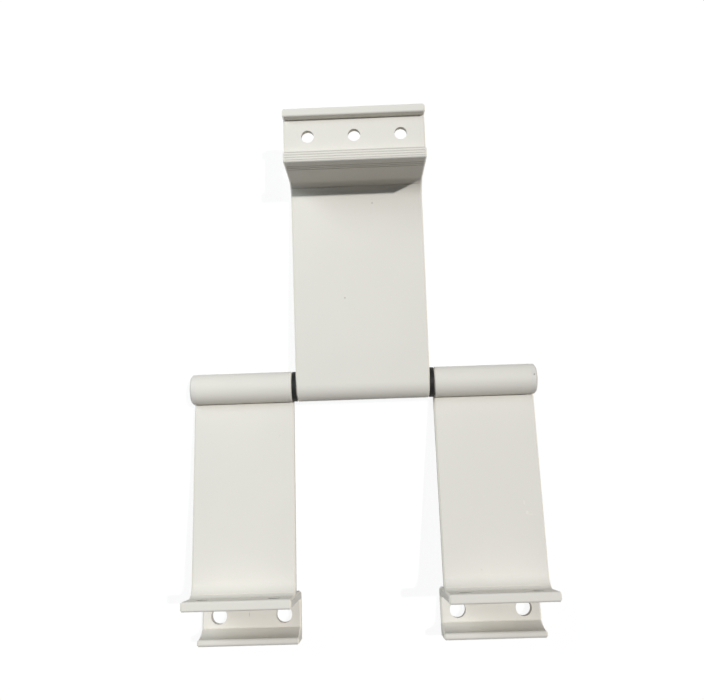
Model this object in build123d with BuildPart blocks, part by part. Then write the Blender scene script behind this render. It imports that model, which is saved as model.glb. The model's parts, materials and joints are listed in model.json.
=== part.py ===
from build123d import *
import os
from math import asin, atan2, cos, hypot, radians, sin

# Long-arm door hinge: three extruded aluminium leaves turn on one steel pin.
# It lies on a table as it would be put down: the knuckles, the end of the centre arm and the
# feet of the outer leaves touch z = 0. X runs along the pin and Y towards the centre leaf.
# Each leaf's section is drawn with u along its arm, away from the pin, and w out of its front.
# All sizes are in millimetres.

# Leaves across the pin
CENTRE_WIDTH = 70.0
OUTER_WIDTH = 53.0
KNUCKLE_GAP = 2.3
END_EDGE = 0.8

# Knuckle and arm
KNUCKLE_R = 8.0
BORE_R = 5.5
ARM_THICK = 5.0

# Centre leaf: a shelf stands up from the end of the arm and carries the door flange
SHELF_U = 106.5
SHELF_THICK = 5.0
SHELF_FILLET = 8.0
HEEL_R = 3.0
NOSE_W = 46.0
NOSE_LENGTH = 5.5
FLANGE_FACE_W = 41.3
FLANGE_THICK = 3.0
LIP_U = 129.6
FLANGE_END_U = 133.8
LIP_EDGE = 1.0
CENTRE_HOLE_U = 120.9
CENTRE_HOLE_PITCH = 23.0
CENTRE_HOLE_COUNT = 3
SMALL_HOLE_R = 3.1

# Fine lines rolled along the extrusions
LINE_DEPTH = 0.35
NOSE_LINES = 4
NOSE_LINE_PITCH = 1.25
SHELF_LINES = 3
SHELF_LINE_PITCH = 2.4
SHELF_LINE_TOP_W = 39.6
FILLET_LINE_ANGLE = 52.0

# Outer leaves: a wall crosses the end of the arm, and a foot with an upturned end lies behind it
WALL_U = 106.0
WALL_THICK = 4.7
WALL_FRONT_W = 20.0
WALL_FILLET = 7.0
FOOT_FACE_W = -29.7
FOOT_THICK = 4.8
FOOT_HEEL_R = 4.5
CREASE_U = 124.3
UPTURN_U = 128.0
UPTURN_W = -17.0
UPTURN_BULGE_U = 126.9
UPTURN_BULGE_W = -24.6
UPTURN_EDGE = 1.5
FOOT_END_U = 131.6
OUTER_HOLE_PITCH = 35.0
WALL_HOLE_W = 11.0
FOOT_HOLE_U = 117.9
BIG_HOLE_R = 4.25

# Pin, bushes, rings, caps and grub screws inside the knuckles
PIN_R = 4.0
RUNNING_CLEARANCE = 0.05
PIN_END_REACH = 46.5
PIN_CHAMFER = 0.6
BUSH_LENGTH = 20.0
BUSH_FLANGE_R = 7.9
BUSH_FLANGE_THICK = 1.1
OUTER_BUSH_START = 30.0
OUTER_BUSH_LENGTH = 14.0
RING_START = 44.2
RING_THICK = 0.9
RING_R = 5.1
RING_GROOVE_R = 3.5
RING_MOUTH = 5.0
CAP_R = 7.9
CAP_THICK = 3.2
CAP_SPIGOT = 2.8
CAP_PROUD = 0.6
CAP_EDGE = 0.8
CAP_SEAT_R = 8.05
GRUB_X = 8.0
GRUB_R = 2.5
GRUB_TOP_DEPTH = 0.3
GRUB_SOCKET_R = 1.4
GRUB_SOCKET_DEPTH = 2.0

# The leaves rest on their rounded heels, which fixes how far each arm slopes
heel_u = SHELF_U + SHELF_THICK - HEEL_R
heel_w = KNUCKLE_R - ARM_THICK + HEEL_R
centre_slope = atan2(heel_w, heel_u) + asin((KNUCKLE_R - HEEL_R) / hypot(heel_u, heel_w))
foot_heel_u = WALL_U + FOOT_HEEL_R
foot_heel_w = FOOT_FACE_W - FOOT_THICK + FOOT_HEEL_R
outer_slope = asin((FOOT_HEEL_R - KNUCKLE_R) / hypot(foot_heel_u, foot_heel_w))
outer_slope = outer_slope - atan2(foot_heel_w, foot_heel_u)

# The pin stands a little off the middle, so that the origin is under the middle of the whole
reach_up = FLANGE_END_U * cos(centre_slope) + NOSE_W * sin(centre_slope)
reach_down = FOOT_END_U * cos(outer_slope) - (FOOT_FACE_W - FOOT_THICK) * sin(outer_slope)
PIN_Y = (reach_down - reach_up) / 2

# u and w of each kind of leaf, as directions
centre_along = Vector(0, cos(centre_slope), -sin(centre_slope))
centre_front = Vector(0, sin(centre_slope), cos(centre_slope))
outer_along = Vector(0, -cos(outer_slope), sin(outer_slope))
outer_front = Vector(0, sin(outer_slope), cos(outer_slope))
outer_inner_x = CENTRE_WIDTH / 2 + KNUCKLE_GAP


def centre_section_plane():
    # left end of the centre leaf, looking along +X
    return Plane(origin=(-CENTRE_WIDTH / 2, PIN_Y, KNUCKLE_R), x_dir=centre_along, z_dir=(1, 0, 0))


def outer_section_plane(right_end_x):
    # right end of an outer leaf, looking along -X
    return Plane(origin=(right_end_x, PIN_Y, KNUCKLE_R), x_dir=outer_along, z_dir=(-1, 0, 0))


def turning_plane(x, outward):
    # half section through the pin: local x runs outward along it, local y is the radius
    return Plane(
        origin=(x, PIN_Y, KNUCKLE_R),
        x_dir=(outward, 0, 0),
        z_dir=(0, -outward, 0),
    )


def cross_plane(x):
    # square to the pin, facing +X
    return Plane(origin=(x, PIN_Y, KNUCKLE_R), x_dir=(0, 1, 0), z_dir=(1, 0, 0))


def leaf_point(x, along, front, u, w):
    # a point of a leaf, from its section's own u and w
    return Vector(x, PIN_Y, KNUCKLE_R) + along * u + front * w


pin_axis = Axis((0, PIN_Y, KNUCKLE_R), (1, 0, 0))
os.makedirs("parts", exist_ok=True)


# Centre leaf: arm tangent to the front of the knuckle, shelf, and flange with three screw holes
centre_outline = (
    (0, KNUCKLE_R),
    (SHELF_U, KNUCKLE_R),
    (SHELF_U, NOSE_W),
    (SHELF_U + NOSE_LENGTH, NOSE_W),
    (SHELF_U + NOSE_LENGTH, FLANGE_FACE_W),
    (LIP_U, FLANGE_FACE_W),
    (LIP_U, NOSE_W),
    (FLANGE_END_U, NOSE_W),
    (FLANGE_END_U, FLANGE_FACE_W - FLANGE_THICK),
    (SHELF_U + SHELF_THICK, FLANGE_FACE_W - FLANGE_THICK),
    (SHELF_U + SHELF_THICK, KNUCKLE_R - ARM_THICK),
    (0, KNUCKLE_R - ARM_THICK),
)
fillet_turn = radians(FILLET_LINE_ANGLE)

with BuildPart() as centre_leaf:
    with BuildSketch(centre_section_plane()):
        with BuildLine():
            Polyline(*centre_outline, close=True)
        make_face()
        fillet(vertices().sort_by_distance((SHELF_U, KNUCKLE_R))[0], SHELF_FILLET)
        fillet(vertices().sort_by_distance(centre_outline[10])[0], HEEL_R)
        for corner in (centre_outline[2], centre_outline[6], centre_outline[7]):
            fillet(vertices().sort_by_distance(corner)[0], LIP_EDGE)
        Circle(KNUCKLE_R)
    extrude(amount=CENTRE_WIDTH)
    chamfer(edges().group_by(Axis.X)[0] + edges().group_by(Axis.X)[-1], END_EDGE)
    # fine lines along the nose, the shelf and the inner fillet
    with BuildSketch(centre_section_plane()):
        for number in range(NOSE_LINES):
            with Locations((SHELF_U + LIP_EDGE + number * NOSE_LINE_PITCH, NOSE_W)):
                RegularPolygon(LINE_DEPTH, 4)
        for number in range(SHELF_LINES):
            with Locations((SHELF_U, SHELF_LINE_TOP_W - number * SHELF_LINE_PITCH)):
                RegularPolygon(LINE_DEPTH, 4)
        with Locations(
            (
                SHELF_U - SHELF_FILLET * (1 - sin(fillet_turn)),
                KNUCKLE_R + SHELF_FILLET * (1 - cos(fillet_turn)),
            )
        ):
            RegularPolygon(LINE_DEPTH, 4)
        # pin bore
        Circle(BORE_R)
    extrude(amount=CENTRE_WIDTH, mode=Mode.SUBTRACT)
    # screw holes through the flange
    with BuildSketch(
        Plane(
            origin=leaf_point(0, centre_along, centre_front, CENTRE_HOLE_U, FLANGE_FACE_W),
            x_dir=(1, 0, 0),
            z_dir=centre_front,
        )
    ):
        with GridLocations(CENTRE_HOLE_PITCH, 0, CENTRE_HOLE_COUNT, 1):
            Circle(SMALL_HOLE_R)
    extrude(amount=-FLANGE_THICK, mode=Mode.SUBTRACT)
    # threaded holes for the grub screws, in the back of the knuckle
    with BuildSketch(
        Plane(origin=(0, PIN_Y, KNUCKLE_R), x_dir=(1, 0, 0), z_dir=-centre_front)
    ):
        with GridLocations(2 * GRUB_X, 0, 2, 1):
            Circle(GRUB_R)
    extrude(amount=KNUCKLE_R, mode=Mode.SUBTRACT)

centre_leaf.part.label = "centre_leaf"
export_step(centre_leaf.part, "parts/centre_leaf.step")


# Outer leaves: arm tangent to the back of the knuckle, wall, and foot with an upturned end
back_w = -KNUCKLE_R
arm_front_w = ARM_THICK - KNUCKLE_R
foot_back_w = FOOT_FACE_W - FOOT_THICK
wall_end_u = WALL_U + WALL_THICK

middle_x = -(outer_inner_x + OUTER_WIDTH / 2)
section = outer_section_plane(middle_x + OUTER_WIDTH / 2)
with BuildPart() as left_leaf:
    with BuildSketch(section):
        with BuildLine():
            Polyline(
                (CREASE_U, FOOT_FACE_W),
                (wall_end_u, FOOT_FACE_W),
                (wall_end_u, WALL_FRONT_W),
                (WALL_U, WALL_FRONT_W),
                (WALL_U, arm_front_w),
                (0, arm_front_w),
                (0, back_w),
                (WALL_U, back_w),
                (WALL_U, foot_back_w),
                (FOOT_END_U, foot_back_w),
                (FOOT_END_U, UPTURN_W),
                (UPTURN_U, UPTURN_W),
            )
            ThreePointArc(
                (UPTURN_U, UPTURN_W),
                (UPTURN_BULGE_U, UPTURN_BULGE_W),
                (CREASE_U, FOOT_FACE_W),
            )
        make_face()
        fillet(vertices().sort_by_distance((WALL_U, arm_front_w))[0], WALL_FILLET)
        fillet(vertices().sort_by_distance((WALL_U, foot_back_w))[0], FOOT_HEEL_R)
        for corner, radius in (
            ((wall_end_u, WALL_FRONT_W), LIP_EDGE),
            ((WALL_U, WALL_FRONT_W), LIP_EDGE),
            ((FOOT_END_U, UPTURN_W), UPTURN_EDGE),
            ((UPTURN_U, UPTURN_W), UPTURN_EDGE),
        ):
            fillet(vertices().sort_by_distance(corner)[0], radius)
        Circle(KNUCKLE_R)
    extrude(amount=OUTER_WIDTH)
    chamfer(edges().group_by(Axis.X)[0] + edges().group_by(Axis.X)[-1], END_EDGE)
    # fine lines along the inner fillet and the crease of the foot
    with BuildSketch(section):
        with Locations(
            (
                WALL_U - WALL_FILLET * (1 - sin(fillet_turn)),
                arm_front_w + WALL_FILLET * (1 - cos(fillet_turn)),
            ),
            (CREASE_U, FOOT_FACE_W),
        ):
            RegularPolygon(LINE_DEPTH, 4)
        # pin bore
        Circle(BORE_R)
    extrude(amount=OUTER_WIDTH, mode=Mode.SUBTRACT)
    # small holes through the wall
    with BuildSketch(
        Plane(
            origin=leaf_point(middle_x, outer_along, outer_front, WALL_U, WALL_HOLE_W),
            x_dir=(1, 0, 0),
            z_dir=outer_along,
        )
    ):
        with GridLocations(OUTER_HOLE_PITCH, 0, 2, 1):
            Circle(SMALL_HOLE_R)
    extrude(amount=WALL_THICK, mode=Mode.SUBTRACT)
    # big holes through the foot
    with BuildSketch(
        Plane(
            origin=leaf_point(middle_x, outer_along, outer_front, FOOT_HOLE_U, foot_back_w),
            x_dir=(1, 0, 0),
            z_dir=outer_front,
        )
    ):
        with GridLocations(OUTER_HOLE_PITCH, 0, 2, 1):
            Circle(BIG_HOLE_R)
    extrude(amount=FOOT_THICK, mode=Mode.SUBTRACT)
    # the knuckle is milled back at its outer end, to seat the end cap
    with BuildSketch(cross_plane(middle_x - OUTER_WIDTH / 2)):
        Circle(CAP_SEAT_R)
    extrude(amount=CAP_THICK - CAP_PROUD, mode=Mode.SUBTRACT)

left_leaf.part.label = "left_leaf"
export_step(left_leaf.part, "parts/left_leaf.step")

with BuildPart() as right_leaf:
    mirror(left_leaf.part, about=Plane.YZ)

right_leaf.part.label = "right_leaf"
export_step(right_leaf.part, "parts/right_leaf.step")


# Hinge pin: plain round bar with a groove for a retaining ring near each end
pin_reach = outer_inner_x + PIN_END_REACH
groove_start = outer_inner_x + RING_START
groove_end = groove_start + RING_THICK

with BuildPart() as hinge_pin:
    with BuildSketch(turning_plane(0, 1)):
        with BuildLine():
            half_profile = Polyline(
                (0, PIN_R),
                (groove_start, PIN_R),
                (groove_start, RING_GROOVE_R),
                (groove_end, RING_GROOVE_R),
                (groove_end, PIN_R),
                (pin_reach - PIN_CHAMFER, PIN_R),
                (pin_reach, PIN_R - PIN_CHAMFER),
                (pin_reach, 0),
            )
            mirror(half_profile, about=Plane.YZ)
            Line((-pin_reach, 0), (pin_reach, 0))
        make_face()
    revolve(axis=pin_axis)

hinge_pin.part.label = "hinge_pin"
export_step(hinge_pin.part, "parts/hinge_pin.step")


# Flanged bushes: one in each knuckle end that faces another knuckle
running_r = PIN_R + RUNNING_CLEARANCE
flanged_bushes = (
    ("centre_bush_left", -CENTRE_WIDTH / 2, 1, PIN_R),
    ("centre_bush_right", CENTRE_WIDTH / 2, -1, PIN_R),
    ("left_inner_bush", -outer_inner_x, -1, running_r),
    ("right_inner_bush", outer_inner_x, 1, running_r),
)

for name, knuckle_end_x, into_knuckle, inside_r in flanged_bushes:
    with BuildPart() as bush:
        with BuildSketch(turning_plane(knuckle_end_x, into_knuckle)):
            with BuildLine():
                Polyline(
                    (-BUSH_FLANGE_THICK, inside_r),
                    (-BUSH_FLANGE_THICK, BUSH_FLANGE_R),
                    (0, BUSH_FLANGE_R),
                    (0, BORE_R),
                    (BUSH_LENGTH, BORE_R),
                    (BUSH_LENGTH, inside_r),
                    close=True,
                )
            make_face()
        revolve(axis=pin_axis)
    bush.part.label = name
    export_step(bush.part, "parts/" + name + ".step")


# Plain bush, retaining ring and end cap at the far end of each outer knuckle
cap_end_x = OUTER_WIDTH + CAP_PROUD
cap_seat_x = cap_end_x - CAP_THICK

for side, outward in (("left", -1), ("right", 1)):
    knuckle_start_x = outward * outer_inner_x
    with BuildPart() as outer_bush:
        with BuildSketch(turning_plane(knuckle_start_x, outward)):
            with Locations((OUTER_BUSH_START, running_r)):
                Rectangle(OUTER_BUSH_LENGTH, BORE_R - running_r, align=(Align.MIN, Align.MIN))
        revolve(axis=pin_axis)
    outer_bush.part.label = side + "_outer_bush"
    export_step(outer_bush.part, "parts/" + side + "_outer_bush.step")

    with BuildPart() as retaining_ring:
        with BuildSketch(cross_plane(knuckle_start_x + outward * RING_START)):
            Circle(RING_R)
            Circle(RING_GROOVE_R, mode=Mode.SUBTRACT)
            with Locations((0, RING_R / 2)):
                Rectangle(RING_MOUTH, RING_R, mode=Mode.SUBTRACT)
        extrude(amount=outward * RING_THICK)
    retaining_ring.part.label = side + "_retaining_ring"
    export_step(retaining_ring.part, "parts/" + side + "_retaining_ring.step")

    with BuildPart() as end_cap:
        with BuildSketch(turning_plane(knuckle_start_x, outward)):
            with BuildLine():
                Polyline(
                    (cap_seat_x - CAP_SPIGOT, BORE_R),
                    (cap_seat_x, BORE_R),
                    (cap_seat_x, CAP_R),
                    (cap_end_x, CAP_R),
                    (cap_end_x, 0),
                    (cap_seat_x - CAP_SPIGOT, 0),
                    close=True,
                )
            make_face()
            chamfer(vertices().sort_by_distance((cap_end_x, CAP_R))[0], CAP_EDGE)
        revolve(axis=pin_axis)
    end_cap.part.label = side + "_end_cap"
    export_step(end_cap.part, "parts/" + side + "_end_cap.step")


# Grub screws that lock the pin in the centre leaf, with hexagon sockets
screw_length = KNUCKLE_R - GRUB_TOP_DEPTH - PIN_R

for side, outward in (("left", -1), ("right", 1)):
    screw_plane = Plane(
        origin=leaf_point(outward * GRUB_X, centre_along, centre_front, 0, -PIN_R),
        x_dir=(1, 0, 0),
        z_dir=-centre_front,
    )
    with BuildPart() as grub_screw:
        with BuildSketch(screw_plane):
            Circle(GRUB_R)
        extrude(amount=screw_length)
        with BuildSketch(screw_plane.offset(screw_length)):
            RegularPolygon(GRUB_SOCKET_R, 6)
        extrude(amount=-GRUB_SOCKET_DEPTH, mode=Mode.SUBTRACT)
    grub_screw.part.label = side + "_grub_screw"
    export_step(grub_screw.part, "parts/" + side + "_grub_screw.step")
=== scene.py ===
import json
from math import atan2, cos, pi, radians, sin

import bpy
from mathutils import Matrix, Vector


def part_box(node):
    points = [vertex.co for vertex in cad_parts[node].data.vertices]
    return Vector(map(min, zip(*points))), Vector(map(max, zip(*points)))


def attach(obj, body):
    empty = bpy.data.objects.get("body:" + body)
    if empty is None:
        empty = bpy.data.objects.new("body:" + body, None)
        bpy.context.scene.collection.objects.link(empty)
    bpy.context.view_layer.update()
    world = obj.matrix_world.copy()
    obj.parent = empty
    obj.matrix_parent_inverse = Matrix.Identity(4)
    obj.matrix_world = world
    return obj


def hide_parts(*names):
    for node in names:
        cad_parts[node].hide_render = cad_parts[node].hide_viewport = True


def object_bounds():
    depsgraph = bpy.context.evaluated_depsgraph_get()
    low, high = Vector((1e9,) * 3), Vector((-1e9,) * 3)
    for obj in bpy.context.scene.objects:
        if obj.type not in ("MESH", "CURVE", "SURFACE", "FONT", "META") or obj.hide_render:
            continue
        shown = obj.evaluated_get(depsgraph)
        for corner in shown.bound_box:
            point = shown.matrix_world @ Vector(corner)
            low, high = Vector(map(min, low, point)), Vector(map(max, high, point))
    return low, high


bl_info = {
    "name": "Long-Arm Door Hinge",
    "version": (1, 0, 0),
    "blender": (4, 5, 0),
    "location": "3D Viewport > Sidebar > Door Hinge",
    "description": "Powder coat, nylon, steel and threaded screws for a long-arm door hinge",
    "category": "Object",
}

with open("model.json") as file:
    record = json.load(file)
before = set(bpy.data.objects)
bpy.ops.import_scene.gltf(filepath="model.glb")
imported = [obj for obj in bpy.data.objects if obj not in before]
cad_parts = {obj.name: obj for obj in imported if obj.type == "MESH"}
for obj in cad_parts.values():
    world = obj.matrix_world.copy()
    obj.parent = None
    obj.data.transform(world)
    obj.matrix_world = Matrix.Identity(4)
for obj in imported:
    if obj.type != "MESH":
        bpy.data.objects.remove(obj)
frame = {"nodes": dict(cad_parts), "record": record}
cad_low, cad_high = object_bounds()
nodes = frame["nodes"]
mounts = {mount["name"]: mount for mount in frame["record"]["mounts"]}

MM = 0.001
CENTRE_BODY = "centre"
LEAVES = ("centre_leaf", "left_leaf", "right_leaf")
END_CAPS = ("left_end_cap", "right_end_cap")
BUSHES = (
    "centre_bush_left",
    "centre_bush_right",
    "left_inner_bush",
    "right_inner_bush",
    "left_outer_bush",
    "right_outer_bush",
)
RETAINING_RINGS = ("left_retaining_ring", "right_retaining_ring")
GRUB_SCREWS = ("left_grub_screw", "right_grub_screw")


# Settings that a user would change


class HingeCoatSettings(bpy.types.PropertyGroup):
    """The satin white powder coat of the leaves."""

    colour: bpy.props.FloatVectorProperty(
        name="Coat Colour",
        description="White of the powder coat",
        subtype="COLOR",
        min=0.0,
        max=1.0,
        default=(0.74, 0.71, 0.65),
    )
    mark_colour: bpy.props.FloatVectorProperty(
        name="Mark Colour",
        description="Dark specks of dust baked into the coat",
        subtype="COLOR",
        min=0.0,
        max=1.0,
        default=(0.16, 0.15, 0.13),
    )
    # The pale colour serves the rubs and also the painted highlight along the sawn edges of the leaves.
    scuff_and_highlight_colour: bpy.props.FloatVectorProperty(
        name="Scuff Colour",
        description="Pale rubs on the coat, and the thin coat along the sawn edges",
        subtype="COLOR",
        min=0.0,
        max=1.0,
        default=(0.93, 0.88, 0.78),
    )
    # Width of the band of painted highlight along the sawn edges.
    edge_width: bpy.props.FloatProperty(
        name="Edge Width",
        description="Width of the thin coat along the sawn edges",
        unit="LENGTH",
        default=0.8 * MM,
    )
    roughness: bpy.props.FloatProperty(
        name="Coat Roughness",
        description="Softness of the coat's gloss",
        subtype="FACTOR",
        min=0.0,
        max=1.0,
        default=0.62,
    )
    peel_width: bpy.props.FloatProperty(
        name="Peel Width",
        description="Width of one ripple in the sprayed surface",
        unit="LENGTH",
        default=1.4 * MM,
    )
    peel_height: bpy.props.FloatProperty(
        name="Peel Height",
        description="Height of the ripples in the sprayed surface",
        unit="LENGTH",
        default=0.008 * MM,
    )
    line_spacing: bpy.props.FloatProperty(
        name="Die Line Spacing",
        description="Distance between the faint lines left by the extrusion die",
        unit="LENGTH",
        default=0.9 * MM,
    )
    line_height: bpy.props.FloatProperty(
        name="Die Line Height",
        description="Height of the faint lines left by the extrusion die",
        unit="LENGTH",
        default=0.004 * MM,
    )


class HingeNylonSettings(bpy.types.PropertyGroup):
    """The moulded nylon of the bushes and end caps."""

    bush_colour: bpy.props.FloatVectorProperty(
        name="Bush Colour",
        description="Black of the bushes",
        subtype="COLOR",
        min=0.0,
        max=1.0,
        default=(0.012, 0.0115, 0.011),
    )
    cap_colour: bpy.props.FloatVectorProperty(
        name="Cap Colour",
        description="White of the end caps",
        subtype="COLOR",
        min=0.0,
        max=1.0,
        default=(0.74, 0.71, 0.66),
    )
    # Colour of the one small dark spot on the rim of the right end cap.
    cap_spot_colour: bpy.props.FloatVectorProperty(
        name="Dirt Colour",
        description="Dark speck on the rim of a cap",
        subtype="COLOR",
        min=0.0,
        max=1.0,
        default=(0.05, 0.045, 0.04),
    )
    roughness: bpy.props.FloatProperty(
        name="Nylon Roughness",
        description="Softness of the nylon's gloss",
        subtype="FACTOR",
        min=0.0,
        max=1.0,
        default=0.48,
    )
    grain_width: bpy.props.FloatProperty(
        name="Grain Width",
        description="Width of the mould's spark-eroded grain",
        unit="LENGTH",
        default=0.25 * MM,
    )


class HingeSteelSettings(bpy.types.PropertyGroup):
    """The pin, retaining rings and grub screws."""

    pin_colour: bpy.props.FloatVectorProperty(
        name="Pin Colour",
        description="Ground stainless steel",
        subtype="COLOR",
        min=0.0,
        max=1.0,
        default=(0.56, 0.56, 0.57),
    )
    spring_colour: bpy.props.FloatVectorProperty(
        name="Ring Colour",
        description="Dark spring steel",
        subtype="COLOR",
        min=0.0,
        max=1.0,
        default=(0.16, 0.16, 0.17),
    )
    screw_colour: bpy.props.FloatVectorProperty(
        name="Screw Colour",
        description="Black oxide on the grub screws",
        subtype="COLOR",
        min=0.0,
        max=1.0,
        default=(0.05, 0.05, 0.055),
    )
    thread_pitch: bpy.props.FloatProperty(
        name="Thread Pitch",
        description="Distance from one turn of the screw's thread to the next",
        unit="LENGTH",
        default=0.8 * MM,
    )
    thread_depth: bpy.props.FloatProperty(
        name="Thread Depth",
        description="Depth of the screw's thread",
        unit="LENGTH",
        default=0.42 * MM,
    )


class HingeStageSettings(bpy.types.PropertyGroup):
    """The floor, lamps and camera."""

    floor_colour: bpy.props.FloatVectorProperty(
        name="Floor Colour",
        description="Pale floor",
        subtype="COLOR",
        min=0.0,
        max=1.0,
        default=(0.62, 0.61, 0.6),
    )
    key_strength: bpy.props.FloatProperty(
        name="Key Strength",
        description="Strength of the small lamp above the right",
        default=2.3,
    )
    window_power: bpy.props.FloatProperty(
        name="Window Power",
        description="Power of the soft lamp beyond the flange, on the left",
        unit="POWER",
        default=2.25,
    )
    window_colour: bpy.props.FloatVectorProperty(
        name="Window Colour",
        description="Slightly blue light of the soft lamp",
        subtype="COLOR",
        min=0.0,
        max=1.0,
        default=(0.86, 0.95, 1.0),
    )
    room_strength: bpy.props.FloatProperty(
        name="Room Strength",
        description="Strength of the even light from all round",
        default=0.006,
    )
    room_colour: bpy.props.FloatVectorProperty(
        name="Room Colour",
        description="Slightly warm light from all round",
        subtype="COLOR",
        min=0.0,
        max=1.0,
        default=(1.0, 0.95, 0.88),
    )
    focal_length: bpy.props.FloatProperty(
        name="Focal Length",
        description="Lens of the camera that looks straight down",
        unit="CAMERA",
        default=38.126,
    )


# Building blocks for node trees


def feed(tree, socket, value):
    """Links a socket to another one, or sets it to a plain value."""
    if isinstance(value, bpy.types.NodeSocket):
        tree.links.new(value, socket)
    else:
        socket.default_value = value


def add_node(tree, kind, settings=None, inputs=None):
    """Adds a node, sets its properties, and sets or links its inputs."""
    made = tree.nodes.new(kind)
    for name, value in (settings or {}).items():
        setattr(made, name, value)
    for name, value in (inputs or {}).items():
        feed(tree, made.inputs[name], value)
    return made


def add_math(tree, operation, first, second=0.0):
    """Adds a scalar sum, product or other operation and returns its result."""
    made = add_node(tree, "ShaderNodeMath", {"operation": operation}, {0: first, 1: second})
    return made.outputs[0]


def new_group(name, kind, sockets):
    """Makes an empty node group with named inputs and outputs."""
    group = bpy.data.node_groups.new(name, kind)
    for socket_name, direction, socket_type in sockets:
        group.interface.new_socket(socket_name, in_out=direction, socket_type=socket_type)
    entry = group.nodes.new("NodeGroupInput")
    result = group.nodes.new("NodeGroupOutput")
    return group, entry.outputs, result.inputs


def fine_grain_group():
    """Ripples of a sprayed or moulded skin, with slow changes of tone."""
    group, given, result = new_group(
        "Fine Grain",
        "ShaderNodeTree",
        (
            ("Vector", "INPUT", "NodeSocketVector"),
            ("Width", "INPUT", "NodeSocketFloat"),
            ("Height", "OUTPUT", "NodeSocketFloat"),
            ("Tone", "OUTPUT", "NodeSocketFloat"),
        ),
    )
    patch_widths = 22.0
    scale = add_math(group, "DIVIDE", 1.0, given["Width"])
    ripples = add_node(
        group,
        "ShaderNodeTexNoise",
        inputs={"Vector": given["Vector"], "Scale": scale, "Detail": 2.0, "Roughness": 0.45},
    )
    patch_scale = add_math(group, "DIVIDE", scale, patch_widths)
    patches = add_node(
        group,
        "ShaderNodeTexNoise",
        inputs={"Vector": given["Vector"], "Scale": patch_scale, "Detail": 1.0},
    )
    group.links.new(ripples.outputs["Fac"], result["Height"])
    group.links.new(patches.outputs["Fac"], result["Tone"])
    return group


def draw_lines_group():
    """Faint parallel lines along the pin's direction, as an extrusion die or a lathe leaves."""
    group, given, result = new_group(
        "Draw Lines",
        "ShaderNodeTree",
        (
            ("Vector", "INPUT", "NodeSocketVector"),
            ("Spacing", "INPUT", "NodeSocketFloat"),
            ("Stretch", "INPUT", "NodeSocketVector"),
            ("Height", "OUTPUT", "NodeSocketFloat"),
        ),
    )
    stretched = add_node(
        group,
        "ShaderNodeVectorMath",
        {"operation": "MULTIPLY"},
        {0: given["Vector"], 1: given["Stretch"]},
    )
    lines = add_node(
        group,
        "ShaderNodeTexNoise",
        inputs={
            "Vector": stretched.outputs["Vector"],
            "Scale": add_math(group, "DIVIDE", 1.0, given["Spacing"]),
            "Detail": 3.0,
        },
    )
    group.links.new(lines.outputs["Fac"], result["Height"])
    return group


def small_mark_group():
    """A soft-edged speck or short scratch at one place."""
    group, given, result = new_group(
        "Small Mark",
        "ShaderNodeTree",
        (
            ("Vector", "INPUT", "NodeSocketVector"),
            ("Place", "INPUT", "NodeSocketVector"),
            ("Half Size", "INPUT", "NodeSocketVector"),
            ("Strength", "INPUT", "NodeSocketFloat"),
            ("Mask", "OUTPUT", "NodeSocketFloat"),
        ),
    )
    away = add_node(
        group,
        "ShaderNodeVectorMath",
        {"operation": "SUBTRACT"},
        {0: given["Vector"], 1: given["Place"]},
    )
    share = add_node(
        group,
        "ShaderNodeVectorMath",
        {"operation": "DIVIDE"},
        {0: away.outputs["Vector"], 1: given["Half Size"]},
    )
    distance = add_node(
        group,
        "ShaderNodeVectorMath",
        {"operation": "LENGTH"},
        {0: share.outputs["Vector"]},
    )
    full_strength_share = 0.4
    fade = add_node(
        group,
        "ShaderNodeMapRange",
        {"interpolation_type": "SMOOTHSTEP"},
        {
            "Value": distance.outputs["Value"],
            "From Min": full_strength_share,
            "From Max": 1.0,
            "To Min": given["Strength"],
            "To Max": 0.0,
        },
    )
    group.links.new(fade.outputs["Result"], result["Mask"])
    return group


def shared_group(name, make):
    """The node group of that name, made the first time it is asked for."""
    return bpy.data.node_groups.get(name) or make()


def place_group(tree, group, inputs):
    """Puts a node group in a material, with its own values."""
    return add_node(tree, "ShaderNodeGroup", {"node_tree": group}, inputs).outputs


def new_material(name):
    """A material with a Principled shader, and the piece's own coordinates."""
    material = bpy.data.materials.new(name)
    material.use_nodes = True
    tree = material.node_tree
    shader = next(n for n in tree.nodes if n.type == "BSDF_PRINCIPLED")
    place = tree.nodes.new("ShaderNodeTexCoord").outputs["Object"]
    return material, tree, shader, place


def dress(names, material):
    """Gives a material to each of the named nodes."""
    for name in names:
        if name not in nodes:
            raise RuntimeError(f"the frame has no node named {name}")
        for slot in nodes[name].material_slots:
            slot.material = material


def mix_colours(tree, blend, factor, first, second):
    """Mixes two colours and returns the result."""
    made = add_node(tree, "ShaderNodeMix", {"data_type": "RGBA", "blend_type": blend})
    shown_inputs = [socket for socket in made.inputs if socket.enabled]
    for socket, value in zip(shown_inputs, (factor, first, second)):
        feed(tree, socket, value)
    return next(socket for socket in made.outputs if socket.enabled)


def between(tree, value, low, high):
    """Turns a value from 0 to 1 into one from low to high."""
    inputs = {"Value": value, "To Min": low, "To Max": high}
    return add_node(tree, "ShaderNodeMapRange", inputs=inputs).outputs["Result"]


def add_bump(tree, height, distance, normal=None):
    """Turns a height from 0 to 1 into a normal, with its distance in metres."""
    inputs = {"Height": height, "Distance": distance, "Strength": 1.0}
    if normal is not None:
        inputs["Normal"] = normal
    return add_node(tree, "ShaderNodeBump", inputs=inputs).outputs["Normal"]


# Materials

COAT_SPECULAR = 0.35
NYLON_SPECULAR = 0.18

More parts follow.
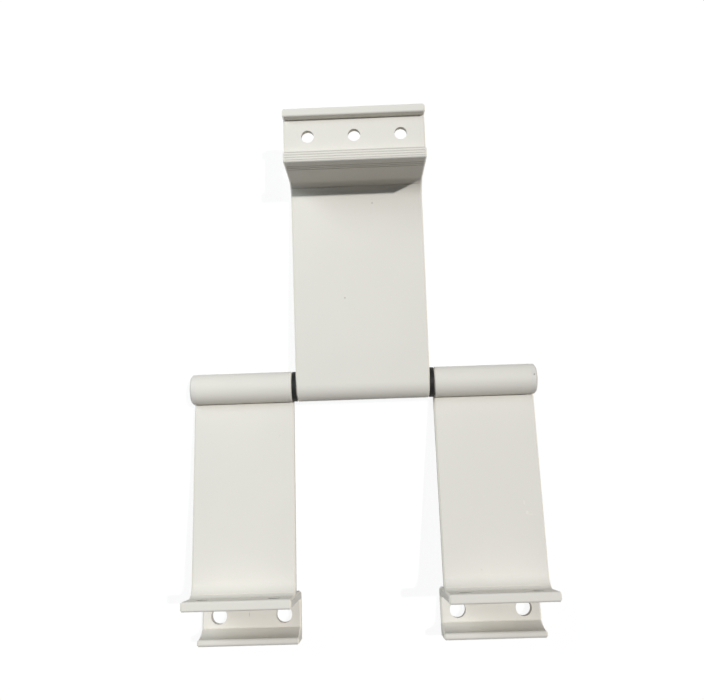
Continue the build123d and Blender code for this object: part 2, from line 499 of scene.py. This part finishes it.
# specks and rubs of the coat: place, half size in each direction, strength
COAT_MARKS = (
    (Vector((-7.9, 45.2, 11.4)) * MM, Vector((0.45, 0.45, 0.45)) * MM, 0.75),
    (Vector((8.2, 95.7, 6.2)) * MM, Vector((0.5, 0.5, 0.5)) * MM, 0.6),
    (Vector((-65.0, -122.0, 6.4)) * MM, Vector((0.25, 1.5, 0.8)) * MM, 0.45),
    (Vector((-45.0, -26.3, 11.0)) * MM, Vector((0.5, 0.5, 0.5)) * MM, 0.1),
    (Vector((56.7, -95.4, 27.5)) * MM, Vector((0.5, 0.5, 0.5)) * MM, 0.14),
)
COAT_SCUFFS = (
    (Vector((80.7, -63.7, 19.9)) * MM, Vector((0.6, 1.7, 0.8)) * MM, 0.3),
    (Vector((81.9, -68.7, 21.1)) * MM, Vector((1.0, 1.3, 0.8)) * MM, 0.32),
    (Vector((83.7, -69.6, 21.3)) * MM, Vector((1.9, 0.7, 0.8)) * MM, 0.18),
)
CAP_MARK = (Vector((89.2, 1.8, 15.5)) * MM, Vector((0.5, 0.5, 0.5)) * MM, 0.8)


def join_marks(tree, place, marks):
    """The strongest of several small marks at each point."""
    strongest = 0.0
    for spot, half_size, strength in marks:
        mark = place_group(
            tree,
            shared_group("Small Mark", small_mark_group),
            {"Vector": place, "Place": spot, "Half Size": half_size, "Strength": strength},
        )
        strongest = add_math(tree, "MAXIMUM", mark["Mask"], strongest)
    return strongest


def along_pin(tree, vector):
    """Size of a vector's part along the pin, whichever way it points."""
    parts = add_node(tree, "ShaderNodeSeparateXYZ", inputs={0: vector}).outputs
    return add_math(tree, "ABSOLUTE", parts["X"])


def distance_from(tree, value, target):
    """How far a value is from a target."""
    return add_math(tree, "ABSOLUTE", add_math(tree, "SUBTRACT", value, target))


def edge_highlight_mask(tree, place, width):
    """Painted highlight: one on the bevels of the leaves' sawn ends, where the key lamp catches them,
    and zero on their faces and ends.
    """
    centre_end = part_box(LEAVES[0])[1].x
    outer_start, outer_end = (corner.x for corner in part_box(LEAVES[2]))
    from_middle = along_pin(tree, place)
    from_end = distance_from(tree, from_middle, centre_end)
    for end in (outer_start, outer_end):
        from_end = add_math(tree, "MINIMUM", from_end, distance_from(tree, from_middle, end))
    beside_end = add_math(tree, "LESS_THAN", from_end, width)
    bevel_lean = cos(pi / 4)
    lean_allowance = 0.22
    facing = tree.nodes.new("ShaderNodeTexCoord").outputs["Normal"]
    from_bevel = distance_from(tree, along_pin(tree, facing), bevel_lean)
    on_bevel = add_math(tree, "LESS_THAN", from_bevel, lean_allowance)
    return add_math(tree, "MULTIPLY", beside_end, on_bevel)


def powder_coat(settings):
    """Satin white coat: sprayed ripples over the die's faint lines, with a few specks and rubs, and a
    painted highlight in a pale colour along the sawn edges.
    """
    material, tree, shader, place = new_material("satin_white_powder_coat")
    tone_swing = 0.03
    gloss_swing = 0.04
    along_the_pin = (0.02, 1.0, 1.0)
    peel = place_group(
        tree,
        shared_group("Fine Grain", fine_grain_group),
        {"Vector": place, "Width": settings.peel_width},
    )
    lines = place_group(
        tree,
        shared_group("Draw Lines", draw_lines_group),
        {"Vector": place, "Spacing": settings.line_spacing, "Stretch": along_the_pin},
    )
    tone = between(tree, peel["Tone"], 1.0 - tone_swing, 1.0 + tone_swing)
    plain = mix_colours(tree, "MULTIPLY", 1.0, (*settings.colour, 1.0), tone)
    # Painted highlight: the sawn-edge bevels take the pale colour, as if the lamp caught them.
    edges = edge_highlight_mask(tree, place, settings.edge_width)
    rubs_and_highlight = add_math(tree, "MAXIMUM", join_marks(tree, place, COAT_SCUFFS), edges)
    scuffed_and_highlit = mix_colours(tree, "MIX", rubs_and_highlight, plain, (*settings.scuff_and_highlight_colour, 1.0))
    marks = join_marks(tree, place, COAT_MARKS)
    marked = mix_colours(tree, "MIX", marks, scuffed_and_highlit, (*settings.mark_colour, 1.0))
    tree.links.new(marked, shader.inputs["Base Color"])
    gloss_ends = (settings.roughness - gloss_swing, settings.roughness + gloss_swing)
    tree.links.new(between(tree, peel["Tone"], *gloss_ends), shader.inputs["Roughness"])
    shader.inputs["Specular IOR Level"].default_value = COAT_SPECULAR
    die = add_bump(tree, lines["Height"], settings.line_height)
    sprayed = add_bump(tree, peel["Height"], settings.peel_height, die)
    tree.links.new(sprayed, shader.inputs["Normal"])
    return material


def nylon(name, colour, settings, marks=()):
    """Moulded nylon with a fine spark-eroded grain."""
    material, tree, shader, place = new_material(name)
    darkest_tone = 0.92
    palest_tone = 1.06
    gloss_swing = 0.06
    grain_height = 0.01 * MM
    grain = place_group(
        tree,
        shared_group("Fine Grain", fine_grain_group),
        {"Vector": place, "Width": settings.grain_width},
    )
    tone = between(tree, grain["Tone"], darkest_tone, palest_tone)
    plain = mix_colours(tree, "MULTIPLY", 1.0, (*colour, 1.0), tone)
    if marks:
        # a small dark spot at each given place
        cap_spot = join_marks(tree, place, marks)
        plain = mix_colours(tree, "MIX", cap_spot, plain, (*settings.cap_spot_colour, 1.0))
    tree.links.new(plain, shader.inputs["Base Color"])
    gloss_ends = (settings.roughness - gloss_swing, settings.roughness + gloss_swing)
    tree.links.new(between(tree, grain["Height"], *gloss_ends), shader.inputs["Roughness"])
    shader.inputs["Specular IOR Level"].default_value = NYLON_SPECULAR
    tree.links.new(add_bump(tree, grain["Height"], grain_height), shader.inputs["Normal"])
    return material


def steel(name, colour, roughness, stretch):
    """Steel with the faint lines of its turning or rolling."""
    material, tree, shader, place = new_material(name)
    darkest_tone = 0.85
    palest_tone = 1.1
    gloss_swing = 0.08
    line_spacing = 0.12 * MM
    line_height = 0.002 * MM
    lines = place_group(
        tree,
        shared_group("Draw Lines", draw_lines_group),
        {"Vector": place, "Spacing": line_spacing, "Stretch": stretch},
    )
    tone = between(tree, lines["Height"], darkest_tone, palest_tone)
    lined = mix_colours(tree, "MULTIPLY", 1.0, (*colour, 1.0), tone)
    tree.links.new(lined, shader.inputs["Base Color"])
    shader.inputs["Metallic"].default_value = 1.0
    gloss_ends = (roughness - gloss_swing, roughness + gloss_swing)
    tree.links.new(between(tree, lines["Height"], *gloss_ends), shader.inputs["Roughness"])
    tree.links.new(add_bump(tree, lines["Height"], line_height), shader.inputs["Normal"])
    return material


# Threaded grub screws


def thread_tree():
    """Geometry nodes for socketed set screws with one thread turn a pitch, evenly along the pin."""
    tree, given, result = new_group(
        "Threaded Set Screws",
        "GeometryNodeTree",
        (
            ("Middle", "INPUT", "NodeSocketVector"),
            ("Turn", "INPUT", "NodeSocketVector"),
            ("Spacing", "INPUT", "NodeSocketFloat"),
            ("Count", "INPUT", "NodeSocketInt"),
            ("Radius", "INPUT", "NodeSocketFloat"),
            ("Length", "INPUT", "NodeSocketFloat"),
            ("Pitch", "INPUT", "NodeSocketFloat"),
            ("Depth", "INPUT", "NodeSocketFloat"),
            ("Socket Radius", "INPUT", "NodeSocketFloat"),
            ("Socket Depth", "INPUT", "NodeSocketFloat"),
            ("Steel", "INPUT", "NodeSocketMaterial"),
            ("Geometry", "OUTPUT", "NodeSocketGeometry"),
        ),
    )
    sides = 48
    rows = 40
    hexagon_sides = 6
    blank = add_node(
        tree,
        "GeometryNodeMeshCylinder",
        {"fill_type": "NGON"},
        {
            "Vertices": sides,
            "Side Segments": rows,
            "Radius": given["Radius"],
            "Depth": given["Length"],
        },
    )
    where = add_node(tree, "GeometryNodeInputPosition").outputs["Position"]
    parts = add_node(tree, "ShaderNodeSeparateXYZ", inputs={0: where}).outputs
    turn = add_math(tree, "DIVIDE", add_math(tree, "ARCTAN2", parts["Y"], parts["X"]), 2 * pi)
    climb = add_math(tree, "DIVIDE", parts["Z"], given["Pitch"])
    phase = add_math(tree, "FRACT", add_math(tree, "SUBTRACT", climb, turn))
    valley = add_math(tree, "ABSOLUTE", add_math(tree, "SUBTRACT", phase, 0.5))
    cut = add_math(tree, "MULTIPLY", add_math(tree, "MULTIPLY", valley, 2.0), given["Depth"])
    half_length = add_math(tree, "MULTIPLY", given["Length"], 0.5)
    to_end = add_math(tree, "SUBTRACT", half_length, add_math(tree, "ABSOLUTE", parts["Z"]))
    chamfer = add_math(tree, "SUBTRACT", given["Depth"], to_end)
    cut = add_math(tree, "MAXIMUM", cut, chamfer)
    share = add_math(tree, "SUBTRACT", 1.0, add_math(tree, "DIVIDE", cut, given["Radius"]))
    shrink = add_node(
        tree,
        "ShaderNodeCombineXYZ",
        inputs={"X": share, "Y": share, "Z": 1.0},
    )
    threaded_place = add_node(
        tree,
        "ShaderNodeVectorMath",
        {"operation": "MULTIPLY"},
        {0: where, 1: shrink.outputs["Vector"]},
    )
    threaded = add_node(
        tree,
        "GeometryNodeSetPosition",
        inputs={
            "Geometry": blank.outputs["Mesh"],
            "Position": threaded_place.outputs["Vector"],
        },
    )
    socket_blank = add_node(
        tree,
        "GeometryNodeMeshCylinder",
        {"fill_type": "NGON"},
        {
            "Vertices": hexagon_sides,
            "Radius": given["Socket Radius"],
            "Depth": add_math(tree, "MULTIPLY", given["Socket Depth"], 2.0),
        },
    )
    socket_place = add_node(
        tree,
        "ShaderNodeCombineXYZ",
        inputs={"X": 0.0, "Y": 0.0, "Z": half_length},
    )
    socket_cutter = add_node(
        tree,
        "GeometryNodeTransform",
        inputs={
            "Geometry": socket_blank.outputs["Mesh"],
            "Translation": socket_place.outputs["Vector"],
        },
    )
    screw = add_node(
        tree,
        "GeometryNodeMeshBoolean",
        {"operation": "DIFFERENCE", "solver": "EXACT"},
        {"Mesh 1": threaded.outputs["Geometry"], "Mesh 2": socket_cutter.outputs["Geometry"]},
    )
    step = add_node(tree, "ShaderNodeCombineXYZ", inputs={"X": given["Spacing"]})
    gaps = add_math(tree, "MULTIPLY", add_math(tree, "SUBTRACT", given["Count"], 1.0), -0.5)
    back = add_node(
        tree,
        "ShaderNodeVectorMath",
        {"operation": "SCALE"},
        {"Vector": step.outputs["Vector"], "Scale": gaps},
    )
    first = add_node(
        tree,
        "ShaderNodeVectorMath",
        {"operation": "ADD"},
        {0: given["Middle"], 1: back.outputs["Vector"]},
    )
    places = add_node(
        tree,
        "GeometryNodeMeshLine",
        {"mode": "OFFSET"},
        {
            "Count": given["Count"],
            "Start Location": first.outputs["Vector"],
            "Offset": step.outputs["Vector"],
        },
    )
    screws = add_node(
        tree,
        "GeometryNodeInstanceOnPoints",
        inputs={
            "Points": places.outputs["Mesh"],
            "Instance": screw.outputs["Mesh"],
            "Rotation": given["Turn"],
        },
    )
    whole = add_node(
        tree,
        "GeometryNodeRealizeInstances",
        inputs={"Geometry": screws.outputs["Instances"]},
    )
    finished = add_node(
        tree,
        "GeometryNodeSetMaterial",
        inputs={"Geometry": whole.outputs["Geometry"], "Material": given["Steel"]},
    )
    tree.links.new(finished.outputs["Geometry"], result["Geometry"])
    return tree


def mesh_from_nodes(name, tree, values):
    """Runs a geometry node tree and keeps the result as a plain mesh object."""
    seed_mesh = bpy.data.meshes.new(name + "_seed")
    piece = bpy.data.objects.new(name, seed_mesh)
    bpy.context.scene.collection.objects.link(piece)
    modifier = piece.modifiers.new("maker", "NODES")
    modifier.node_group = tree
    for socket in tree.interface.items_tree:
        if socket.in_out == "INPUT":
            modifier[socket.identifier] = values[socket.name]
    graph = bpy.context.evaluated_depsgraph_get()
    made = bpy.data.meshes.new_from_object(piece.evaluated_get(graph))
    piece.modifiers.remove(modifier)
    piece.data = made
    made.name = name
    bpy.data.meshes.remove(seed_mesh)
    if not made.polygons:
        raise RuntimeError(f"the node tree made no faces for {name}")
    return piece


# Stage

# the photograph's camera, fitted to the hinge: its place, the point on the table it looks at,
# and how far the picture's upright leans from +Y
CAMERA_PLACE = Vector((2.044, 17.315, 404.461)) * MM
CAMERA_AIM = Vector((-5.337, 17.604, 0.0)) * MM
CAMERA_LEAN = radians(1.987)
SENSOR_WIDTH = 36.0

# directions towards the lamps
KEY_DIRECTION = Vector((0.364, 0.228, 0.903))
KEY_ANGLE = radians(1.5)
WINDOW_PLACE = Vector((-0.43, 0.33, 0.48))
WINDOW_AIM = Vector((0.0, 0.03, 0.02))
WINDOW_SIZE = 0.4


def aim_matrix(place, target, picture_up):
    """Places a camera or lamp so that it looks at a point, with a given upright."""
    forward = (target - place).normalized()
    right = forward.cross(picture_up).normalized()
    up = right.cross(forward)
    turn = Matrix((right, up, -forward)).transposed()
    return Matrix.Translation(place) @ turn.to_4x4()


def add_to_scene(name, data):
    """Links new object data to the scene."""
    made = bpy.data.objects.new(name, data)
    bpy.context.scene.collection.objects.link(made)
    return made


def background_rays(tree):
    """The light path, and one for the rays that show the background: seen, mirrored or through glass."""
    rays = tree.nodes.new("ShaderNodeLightPath").outputs
    shown = add_math(tree, "MAXIMUM", rays["Is Camera Ray"], rays["Is Glossy Ray"])
    return rays, add_math(tree, "MAXIMUM", shown, rays["Is Transmission Ray"])


def floor_material(settings):
    """Pale floor: it looks white, keeps the shadow, and shows a leaf that swings below it."""
    material = bpy.data.materials.new("pale_floor")
    material.use_nodes = True
    tree = material.node_tree
    tree.nodes.clear()
    rays, shown_rays = background_rays(tree)
    shadow_white = 0.92
    lamp_share = 0.112
    paper = add_node(
        tree, "ShaderNodeBsdfDiffuse", inputs={"Color": (*settings.floor_colour, 1.0)}
    )
    lit = add_node(
        tree, "ShaderNodeBsdfDiffuse", inputs={"Color": (lamp_share, lamp_share, lamp_share, 1.0)}
    )
    backdrop = add_node(
        tree,
        "ShaderNodeBsdfTransparent",
        inputs={"Color": (shadow_white, shadow_white, shadow_white, 1.0)},
    )
    shown = add_node(
        tree, "ShaderNodeAddShader", inputs={0: lit.outputs[0], 1: backdrop.outputs[0]}
    )
    surface = add_node(
        tree,
        "ShaderNodeMixShader",
        inputs={0: shown_rays, 1: paper.outputs[0], 2: shown.outputs[0]},
    )
    clear = add_node(tree, "ShaderNodeBsdfTransparent")
    finished = add_node(
        tree,
        "ShaderNodeMixShader",
        inputs={0: rays["Is Shadow Ray"], 1: surface.outputs[0], 2: clear.outputs[0]},
    )
    add_node(tree, "ShaderNodeOutputMaterial", inputs={"Surface": finished.outputs[0]})
    return material


def light_room(settings):
    """Even light from all round, behind a white backdrop."""
    world = bpy.data.worlds.new("studio_room")
    bpy.context.scene.world = world
    world.use_nodes = True
    tree = world.node_tree
    tree.nodes.clear()
    shown_rays = background_rays(tree)[1]
    room = add_node(
        tree,
        "ShaderNodeBackground",
        inputs={"Color": (*settings.room_colour, 1.0), "Strength": settings.room_strength},
    )
    backdrop = add_node(
        tree,
        "ShaderNodeBackground",
        inputs={"Color": (1.0, 1.0, 1.0, 1.0), "Strength": 1.0},
    )
    mixed = add_node(
        tree,
        "ShaderNodeMixShader",
        inputs={0: shown_rays, 1: room.outputs[0], 2: backdrop.outputs[0]},
    )
    add_node(tree, "ShaderNodeOutputWorld", inputs={"Surface": mixed.outputs[0]})


# Operators


class HINGE_OT_coat_leaves(bpy.types.Operator):
    """Powder coats the centre leaf and the two outer leaves"""

    bl_idname = "hinge.coat_leaves"
    bl_label = "Coat the Leaves"

    def execute(self, context):
        dress(LEAVES, powder_coat(context.scene.hinge_coat))
        return {"FINISHED"}


class HINGE_OT_mould_nylon(bpy.types.Operator):
    """Finishes the nylon bushes and the end caps"""

    bl_idname = "hinge.mould_nylon"
    bl_label = "Finish Bushes and Caps"

    def execute(self, context):
        settings = context.scene.hinge_nylon
        dress(BUSHES, nylon("black_nylon_bush", settings.bush_colour, settings))
        cap_finish = nylon("white_nylon_cap", settings.cap_colour, settings, (CAP_MARK,))
        dress(END_CAPS, cap_finish)
        return {"FINISHED"}


class HINGE_OT_grind_pin(bpy.types.Operator):
    """Finishes the steel pin and the retaining rings"""

    bl_idname = "hinge.grind_pin"
    bl_label = "Finish Pin and Rings"

    def execute(self, context):
        settings = context.scene.hinge_steel
        ground_roughness = 0.24
        spring_roughness = 0.4
        round_the_pin = (1.0, 0.02, 0.02)
        along_the_pin = (0.05, 1.0, 1.0)
        dress(
            ("hinge_pin",),
            steel("ground_steel_pin", settings.pin_colour, ground_roughness, round_the_pin),
        )
        dress(
            RETAINING_RINGS,
            steel("spring_steel", settings.spring_colour, spring_roughness, along_the_pin),
        )
        return {"FINISHED"}


class HINGE_OT_cut_threads(bpy.types.Operator):
    """Makes the grub screws with their thread and hexagon socket"""

    bl_idname = "hinge.cut_threads"
    bl_label = "Thread the Grub Screws"

    def execute(self, context):
        settings = context.scene.hinge_steel
        left_low, left_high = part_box(GRUB_SCREWS[0])
        right_low, right_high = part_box(GRUB_SCREWS[1])
        outward = Vector(mounts["flange_back"]["axis"])
        lean = atan2(abs(outward.y), abs(outward.z))
        radius = (left_high.x - left_low.x) / 2
        height = left_high.z - left_low.z
        length = (height - 2 * radius * sin(lean)) / cos(lean)
        oxide_roughness = 0.42
        socket_radius = 1.4 * MM
        socket_depth = 2.0 * MM
        short_lines = (0.3, 1.0, 1.0)
        finish = steel("black_oxide", settings.screw_colour, oxide_roughness, short_lines)
        values = {
            "Middle": (left_low + left_high + right_low + right_high) / 4,
            "Turn": outward.to_track_quat("Z", "X").to_euler(),
            "Spacing": right_low.x - left_low.x,
            "Count": len(GRUB_SCREWS),
            "Radius": radius,
            "Length": length,
            "Pitch": settings.thread_pitch,
            "Depth": settings.thread_depth,
            "Socket Radius": socket_radius,
            "Socket Depth": socket_depth,
            "Steel": finish,
        }
        screws = mesh_from_nodes("threaded_grub_screws", thread_tree(), values)
        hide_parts(*GRUB_SCREWS)
        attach(screws, CENTRE_BODY)
        return {"FINISHED"}


class HINGE_OT_set_stage(bpy.types.Operator):
    """Lays the floor and sets up the lamps, the room's light and the camera"""

    bl_idname = "hinge.set_stage"
    bl_label = "Set the Stage"

    def execute(self, context):
        settings = context.scene.hinge_stage
        reach = 4.0
        gap = 0.02 * MM
        floor_level = cad_low.z - gap
        sheet = bpy.data.meshes.new("floor")
        corners = [
            (x * reach, y * reach, floor_level) for x, y in ((-1, -1), (1, -1), (1, 1), (-1, 1))
        ]
        sheet.from_pydata(corners, [], [(0, 1, 2, 3)])
        sheet.materials.append(floor_material(settings))
        add_to_scene("floor", sheet)

        key = bpy.data.lights.new("key", "SUN")
        key.energy = settings.key_strength
        key.angle = KEY_ANGLE
        key_object = add_to_scene("key", key)
        key_object.rotation_mode = "QUATERNION"
        key_object.rotation_quaternion = KEY_DIRECTION.to_track_quat("Z", "Y")

        window = bpy.data.lights.new("window", "AREA")
        window.energy = settings.window_power
        window.color = settings.window_colour
        window.size = WINDOW_SIZE
        window_object = add_to_scene("window", window)
        window_object.matrix_world = aim_matrix(WINDOW_PLACE, WINDOW_AIM, Vector((0, 0, 1)))

        light_room(settings)

        lens = bpy.data.cameras.new("camera")
        lens.sensor_fit = "HORIZONTAL"
        lens.sensor_width = SENSOR_WIDTH
        lens.lens = settings.focal_length
        camera = add_to_scene("camera", lens)
        picture_up = Vector((sin(CAMERA_LEAN), cos(CAMERA_LEAN), 0))
        camera.matrix_world = aim_matrix(CAMERA_PLACE, CAMERA_AIM, picture_up)
        context.scene.camera = camera
        context.scene.view_settings.view_transform = "Standard"
        return {"FINISHED"}


class HINGE_PT_sidebar(bpy.types.Panel):
    """Lists the hinge's finishes and the steps that apply them"""

    bl_label = "Door Hinge"
    bl_idname = "HINGE_PT_sidebar"
    bl_space_type = "VIEW_3D"
    bl_region_type = "UI"
    bl_category = "Door Hinge"

    def draw(self, context):
        for title, group_name, operators in STEPS:
            box = self.layout.box()
            box.label(text=title)
            group = getattr(context.scene, group_name)
            for name in group.bl_rna.properties.keys():
                if name not in ("rna_type", "name"):
                    box.prop(group, name)
            for operator in operators:
                box.operator(operator.bl_idname)


SETTINGS = {
    "hinge_coat": HingeCoatSettings,
    "hinge_nylon": HingeNylonSettings,
    "hinge_steel": HingeSteelSettings,
    "hinge_stage": HingeStageSettings,
}
STEPS = (
    ("Leaves", "hinge_coat", (HINGE_OT_coat_leaves,)),
    ("Bushes and Caps", "hinge_nylon", (HINGE_OT_mould_nylon,)),
    ("Pin and Screws", "hinge_steel", (HINGE_OT_grind_pin, HINGE_OT_cut_threads)),
    ("Stage", "hinge_stage", (HINGE_OT_set_stage,)),
)
OPERATORS = tuple(operator for step in STEPS for operator in step[2])


def register():
    for name, settings_class in SETTINGS.items():
        bpy.utils.register_class(settings_class)
        setattr(bpy.types.Scene, name, bpy.props.PointerProperty(type=settings_class))
    for made_class in (*OPERATORS, HINGE_PT_sidebar):
        bpy.utils.register_class(made_class)


def unregister():
    for made_class in (HINGE_PT_sidebar, *reversed(OPERATORS)):
        bpy.utils.unregister_class(made_class)
    for name, settings_class in SETTINGS.items():
        delattr(bpy.types.Scene, name)
        bpy.utils.unregister_class(settings_class)


def main():
    register()
    bpy.ops.hinge.coat_leaves()
    bpy.ops.hinge.mould_nylon()
    bpy.ops.hinge.grind_pin()
    bpy.ops.hinge.cut_threads()
    bpy.ops.hinge.set_stage()


if __name__ == "__main__":
    main()
